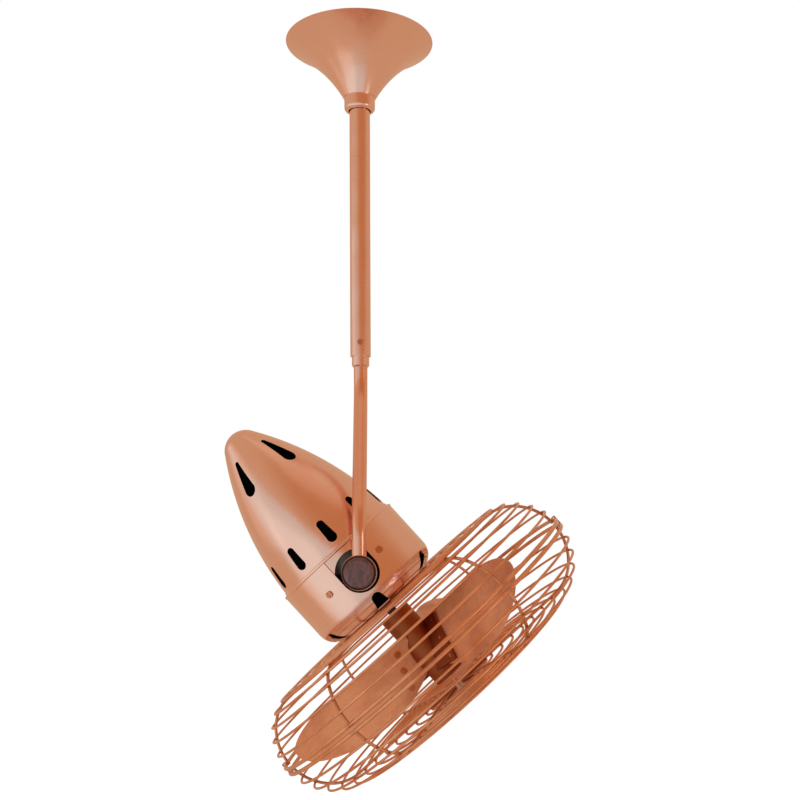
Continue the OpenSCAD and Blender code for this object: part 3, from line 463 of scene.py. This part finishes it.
def turned_metal(name, deep, pale, roughness, about=None, lines_per_metre=2500.0, bump=0.03, coat=0.3,
                 metallic=1.0, stain=None):
    """Brushed metal with lines round the Z axis of a frame, between a deep and a pale tone."""
    material, tree, shader = new_finish(name, metallic, roughness, deep)
    where = own_place(tree, about)
    marks = add(tree, "ShaderNodeGroup", node_tree=turned, Lines_per_metre=lines_per_metre)
    link(tree, where, marks.inputs["Vector"])
    dirt = place_smudges(tree, where)
    drift = calculate(tree, "MULTIPLY", marks.outputs["Drift"], DRIFT_SHARE)
    blend = calculate(tree, "MULTIPLY_ADD", marks.outputs["Lines"], LINE_SHARE, drift)
    tone = ramp(tree, blend, (0.3, deep), (0.7, pale))
    if stain:
        tone = between(tree, tone, stain, dirt["Mask"])
    link(tree, tone, shader.inputs["Base Color"])
    lined = spread(tree, marks.outputs["Lines"], roughness - 0.05, roughness + 0.09)
    dull = calculate(tree, "MULTIPLY_ADD", dirt["Mask"], DULLED, lined)
    link(tree, dull, shader.inputs["Roughness"])
    swell = noise(tree, where, WAVES_PER_METRE, Detail=1.5, Roughness=0.4)
    waves = relief(tree, swell, 0.35, 0.004)
    link(tree, waves, shader.inputs["Coat Normal"])
    link(tree, relief(tree, marks.outputs["Lines"], bump, 0.0002, waves), shader.inputs["Normal"])
    shader.inputs["Coat Weight"].default_value = coat
    shader.inputs["Coat Roughness"].default_value = 0.15
    shader.inputs["Coat IOR"].default_value = 1.5
    return material


print("recipe: turned metal")

# %% [markdown]
# Five coppers come from that recipe. The rod, the canopy and the head share one tone, each about its own
# axis. The arm and the small parts are deeper copies of that same copper. This is painted shade: it darkens
# the arm and makes the screw heads and other small parts stand out. The blades are satin, coarser and a
# little stained, and most of their colour is a tinted lacquer, so they are less of a mirror.

# %% The coppers
DEEP = linear(243, 198, 178)
PALE = linear(250, 210, 194)
copper_rod = turned_metal("brushed_copper_rod", DEEP, PALE, 0.2)
copper_head = turned_metal("brushed_copper_head", DEEP, PALE, 0.2, HEAD)
# The arm's copper is a deeper copy of the rod's: painted shade.
copper_arm_painted_shade = turned_metal("brushed_copper_arm_painted_shade", linear(238, 180, 152), linear(246, 194, 168), 0.2)
# The small parts' copper is deeper still: painted shade that outlines screw heads, clips and nuts.
copper_small_painted_shade = turned_metal("copper_small_parts_painted_shade", linear(204, 136, 98), linear(224, 160, 124), 0.26,
                            lines_per_metre=1500.0, bump=0.05)
copper_blade = turned_metal("satin_copper_blades", linear(234, 144, 96), linear(250, 182, 134), 0.34, HEAD,
                            lines_per_metre=900.0, bump=0.02, coat=0.2, metallic=0.3,
                            stain=linear(204, 118, 76))
print("coppers:", [m.name for m in bpy.data.materials if "copper" in m.name])

# %% [markdown]
# The guard is drawn wire under the same lacquer. Wire has no turning lines: it shows fine scratches. Its
# tones are a deeper copy of the copper, painted shade for the darker things that the thin wire mirrors. Each
# joint of a ring and a rib is a small weld that stays brown under the lacquer. The welds could be separate
# beads, but there are over a hundred. A mask does it, worked out from the angle round the head, because the
# ribs stand 60 degrees apart.

# %% Recipe: guard wire
RIBS = 6
WELD_INNER = 0.0016
WELD_OUTER = 0.0042
WELD_STRENGTH = 0.2


def weld_mask(tree, where):
    """A mask that is high within a few millimetres of each rib, measured along the ring."""
    split = add(tree, "ShaderNodeSeparateXYZ")
    link(tree, where, split.inputs[0])
    x = split.outputs["X"]
    y = split.outputs["Y"]
    fold = calculate(tree, "PINGPONG", calculate(tree, "ARCTAN2", y, x), math.pi / RIBS)
    arc = calculate(tree, "MULTIPLY", fold, radius_of(tree, x, y)[0])
    near = add(tree, "ShaderNodeMapRange", From_Min=WELD_INNER, From_Max=WELD_OUTER, To_Min=WELD_STRENGTH,
               To_Max=0.0)
    link(tree, arc, near.inputs["Value"])
    return near.outputs[0]


def guard_wire(name, deep, pale, weld):
    """Lacquered drawn wire with a brown weld where a ring crosses a rib."""
    material, tree, shader = new_finish(name, 1.0, 0.4, deep)
    where = own_place(tree, HEAD)
    dirt = place_smudges(tree, where, 30.0)
    tone = between(tree, pale, deep, dirt["Mask"])
    link(tree, between(tree, tone, weld, weld_mask(tree, where)), shader.inputs["Base Color"])
    link(tree, spread(tree, dirt["Mask"], 0.36, 0.5), shader.inputs["Roughness"])
    link(tree, relief(tree, dirt["Speck"], 0.05, 0.0002), shader.inputs["Normal"])
    shader.inputs["Coat Weight"].default_value = 0.6
    shader.inputs["Coat Roughness"].default_value = 0.15
    return material


# The wire's deep and pale tones are a deeper copy of the copper: painted shade.
copper_wire_painted_shade = guard_wire("copper_guard_wire_painted_shade", linear(212, 136, 92), linear(236, 170, 126),
                         weld=linear(140, 80, 50))
print("guard wire ready")

# %% [markdown]
# The other metals are plain: zinc plate, dark pressed steel, and dark bronze on the knob's ring. Most are
# hidden, but they show when the canopy slides down or the shells come off, so they aren't flat greys. They
# use the turned recipe with little lacquer or none.

# %% Zinc, steel and bronze
ZINC = (linear(176, 178, 182), linear(204, 205, 208))
zinc = turned_metal("zinc_plate", *ZINC, 0.32, HEAD, lines_per_metre=1200.0, bump=0.04, coat=0.0)
zinc_rod = turned_metal("zinc_plate_bracket", *ZINC, 0.36, lines_per_metre=1200.0, bump=0.04, coat=0.0)
dark_steel = turned_metal("dark_steel", linear(70, 70, 74), linear(98, 98, 102), 0.45, HEAD,
                          lines_per_metre=2000.0, bump=0.1, coat=0.0)
bronze = turned_metal("dark_bronze", linear(64, 38, 26), linear(96, 58, 40), 0.3, lines_per_metre=1500.0,
                      bump=0.04, coat=0.2)
print("plain metals ready")

# %% [markdown]
# A casting is never smooth: it keeps the grain of its mould and has no turning lines. The rear motor cover
# is bare aluminium, and the hub is a casting under copper lacquer. The pivot bracket and the front motor
# cover are cast aluminium, but here they are flat black with no metallic part and little shine. That is
# painted shade, standing in for the dark inside of the head seen through the notch and the vents.

# %% Recipe: castings
CAST_GRAIN = 700.0


def casting(name, deep, pale, metallic=1.0, shine=0.5):
    """Cast metal with a fine grain, bare or painted."""
    material, tree, shader = new_finish(name, metallic, 0.5, deep)
    where = own_place(tree)
    grain = noise(tree, where, CAST_GRAIN, Detail=4.0)
    dirt = place_smudges(tree, where)
    link(tree, between(tree, deep, pale, grain), shader.inputs["Base Color"])
    link(tree, spread(tree, dirt["Mask"], 0.42, 0.62), shader.inputs["Roughness"])
    link(tree, relief(tree, grain, 0.25, 0.0003), shader.inputs["Normal"])
    shader.inputs["Specular IOR Level"].default_value = shine
    return material


cast_metal = casting("cast_aluminium", linear(150, 150, 152), linear(176, 176, 178))
cast_hub = casting("cast_hub_copper_lacquer", linear(146, 80, 48), linear(174, 102, 64))
# Black on the pivot bracket and the front motor cover is painted shade for the dark inside of the head.
black_cast_painted_shade = casting("black_casting_painted_shade", linear(8, 7, 7), linear(16, 14, 14), metallic=0.0, shine=0.12)
print("castings ready")

# %% [markdown]
# Plastics, fibre, rubber, the black screens and the varnished coil are not metal. Each has a fine grain of
# its own scale and a soft smudge mask that moves the roughness. The coil's grain is stretched along its
# windings. The screens behind the vents are black with no shine at all: painted shade, dark sheets that
# stand in for the dark inside of the shell.

# %% Recipe: moulded and pressed materials
def grainy(name, dark, light, roughness, grain_scale, bump, stretch=(1.0, 1.0, 1.0), coat=0.0, shine=0.5):
    """A material that isn't a metal, with a grain of its own scale."""
    material, tree, shader = new_finish(name, 0.0, roughness, dark)
    where = own_place(tree, HEAD)
    scaled = add(tree, "ShaderNodeMapping", vector_type="POINT", Scale=stretch)
    link(tree, where, scaled.inputs["Vector"])
    grain = noise(tree, scaled.outputs[0], grain_scale, Detail=4.0)
    dirt = place_smudges(tree, where)
    link(tree, between(tree, dark, light, grain), shader.inputs["Base Color"])
    link(tree, spread(tree, dirt["Mask"], roughness - 0.05, roughness + 0.12), shader.inputs["Roughness"])
    link(tree, relief(tree, grain, bump, 0.0004), shader.inputs["Normal"])
    shader.inputs["Coat Weight"].default_value = coat
    shader.inputs["Specular IOR Level"].default_value = shine
    return material


black_plastic = grainy("black_plastic", linear(20, 20, 22), linear(34, 34, 36), 0.45, 1500.0, 0.1)
pale_plastic = grainy("pale_plastic", linear(206, 202, 188), linear(220, 217, 206), 0.4, 1200.0, 0.06)
fibre = grainy("friction_fibre", linear(46, 34, 28), linear(84, 66, 54), 0.8, 1800.0, 0.5)
rubber = grainy("gasket_rubber", linear(18, 18, 19), linear(32, 32, 33), 0.7, 1400.0, 0.15)
coil = grainy("varnished_coil", linear(110, 42, 18), linear(176, 84, 40), 0.3, 900.0, 0.6,
              stretch=(1.0, 1.0, 0.15), coat=0.4)
# The black screens are painted shade: dark sheets behind the vents.
shade_screen = grainy("black_screen_painted_shade", linear(3, 3, 3), linear(9, 9, 9), 0.9, 2600.0, 0.6, shine=0.0)
print("moulded and pressed materials ready")

# %% [markdown]
# The hand knob has a face of dark polished wood. Its figure is a slow swirl of purple and red browns with
# fine pores, so distorted noise fits it better than straight grain. A clear lacquer over it gives the sharp
# reflection.

# %% Knob wood
FIGURE_SCALE = 110.0
PORE_SCALE = 1400.0
dark_wood, tree, shader = new_finish("dark_polished_wood", 0.0, 0.35, linear(92, 52, 50))
stretched = add(tree, "ShaderNodeMapping", vector_type="POINT", Scale=(1.0, 1.0, 0.55),
                Rotation=(0.0, math.radians(25), 0.0))
link(tree, own_place(tree), stretched.inputs["Vector"])
figure = noise(tree, stretched.outputs[0], FIGURE_SCALE, Detail=5.0, Roughness=0.62, Distortion=1.2)
browns = ramp(tree, figure, (0.34, linear(44, 20, 20)), (0.5, linear(86, 44, 46)),
              (0.68, linear(134, 62, 52)))
link(tree, browns, shader.inputs["Base Color"])
pores = noise(tree, stretched.outputs[0], PORE_SCALE, Detail=2.0)
link(tree, spread(tree, pores, 0.25, 0.45), shader.inputs["Roughness"])
link(tree, relief(tree, pores, 0.08, 0.0003), shader.inputs["Normal"])
shader.inputs["Coat Weight"].default_value = 1.0
shader.inputs["Coat Roughness"].default_value = 0.08
print("wood ready")

# %% [markdown]
# Each solid of the frame takes the finish of its real piece, or one of the darker copies and black finishes
# above that paint shade on it. The solids already have the right shape, so none is replaced: each keeps its
# own mesh, and only its material slot changes. What is left over is printed, to show that no piece was
# forgotten.

# %% Dress the solids
finishes = {
    copper_rod: ["canopy", "canopy_collar", "downrod", "rod_coupler"],
    copper_arm_painted_shade: ["arm_tube"],
    copper_head: ["rear_cone", "front_bowl", "joining_ring", "guard_cap"],
    copper_small_painted_shade: ["coupler_screw", "coupler_nut", "cone_screws", "bowl_screws", "guard_clips",
                   "blade_screws", "guard_screws", "hub_nut"],
    copper_blade: ["blade_1", "blade_2", "blade_3"],
    copper_wire_painted_shade: ["rear_guard", "front_guard"],
    cast_hub: ["blade_hub"],
    cast_metal: ["motor_rear_cover"],
    black_cast_painted_shade: ["pivot_bracket", "motor_front_cover"],
    zinc_rod: ["hanger_bracket", "hanger_ball", "ball_pin", "collar_screw"],
    zinc: ["pivot_stud", "spring_washer", "motor_bolts", "front_bearing", "rear_bearing", "capacitor_clip"],
    dark_steel: ["motor_shaft", "stator_core", "rotor_core", "hub_set_screw"],
    bronze: ["knob_cup"],
    dark_wood: ["knob_grip"],
    black_plastic: ["capacitor"],
    pale_plastic: ["terminal_block"],
    fibre: ["friction_washer"],
    rubber: ["guard_gasket"],
    shade_screen: ["rear_screen", "front_screen"],
    coil: ["stator_winding"],
}
for finish, names in finishes.items():
    for name in names:
        mesh = nodes[name].data
        mesh.materials.clear()
        mesh.materials.append(finish)
left = sorted(set(nodes) - {name for names in finishes.values() for name in names})
print("dressed", len(nodes) - len(left), "solids; left:", left)

# %% [markdown]
# Two thin forms are added to the head. The bowl's rear edge is rolled over, which shows as a fine bead along
# the seam, and a bump couldn't give it a shadow. Behind the row of vents before the seam lies a black liner
# close to the shell. It is painted shade that keeps those vents dark, so that no light shows through two
# vents next to each other. Both are spun about the head's axis from a short outline, as a real bead would
# be, and ride with the head.

# %% Helper: a form spun about the head's axis
def spun(name, outline, finish, turns=192):
    """A closed outline of (radius, place along the axis), spun about the head's axis into one piece."""
    count = len(outline)
    points = []
    for step in range(turns):
        angle = 2.0 * math.pi * step / turns
        points += [HEAD @ Vector((r * math.cos(angle), r * math.sin(angle), z)) for r, z in outline]
    faces = []
    for step in range(turns):
        here = step * count
        there = (step + 1) % turns * count
        for k in range(count):
            after = (k + 1) % count
            faces.append((here + k, here + after, there + after, there + k))
    mesh = bpy.data.meshes.new(name)
    mesh.from_pydata([tuple(point) for point in points], [], faces)
    mesh.materials.append(finish)
    mesh.shade_smooth()
    piece = bpy.data.objects.new(name, mesh)
    scene.collection.objects.link(piece)
    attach(piece, "head")
    print("added", name, "with", len(faces), "faces")


# %% [markdown]
# The bead's outline is an oval across the seam, on the bowl's edge. The black shade liner follows the inner
# face of the cone about 0.4 mm inside it, over the length of the vents and as far as the joining ring.

# %% Added: rolled bead and black vent liner of painted shade
SEAM_RADIUS = 0.0708
SEAM_PLACE = -0.0312
BEAD_RISE = 0.0013
BEAD_HALF_WIDTH = 0.0017
SHADE_LINER_WALL = 0.0003
SHADE_LINER_OUTER = [(0.0619, -0.0700), (0.0630, -0.0646), (0.0641, -0.0579), (0.0650, -0.0512),
               (0.0659, -0.0430)]
bead = []
for degrees in range(0, 360, 20):
    angle = math.radians(degrees)
    bead.append((SEAM_RADIUS + BEAD_RISE * math.cos(angle), SEAM_PLACE + BEAD_HALF_WIDTH * math.sin(angle)))
shade_liner_inner = [(r - SHADE_LINER_WALL, z) for r, z in reversed(SHADE_LINER_OUTER)]
spun("seam_bead", bead, copper_head)
# The black liner is painted shade behind the vents.
spun("vent_shade_liner", SHADE_LINER_OUTER + shade_liner_inner, shade_screen)

# %% [markdown]
# The last cell only prints that the dressing is done.

# %% End
print("dressing done")
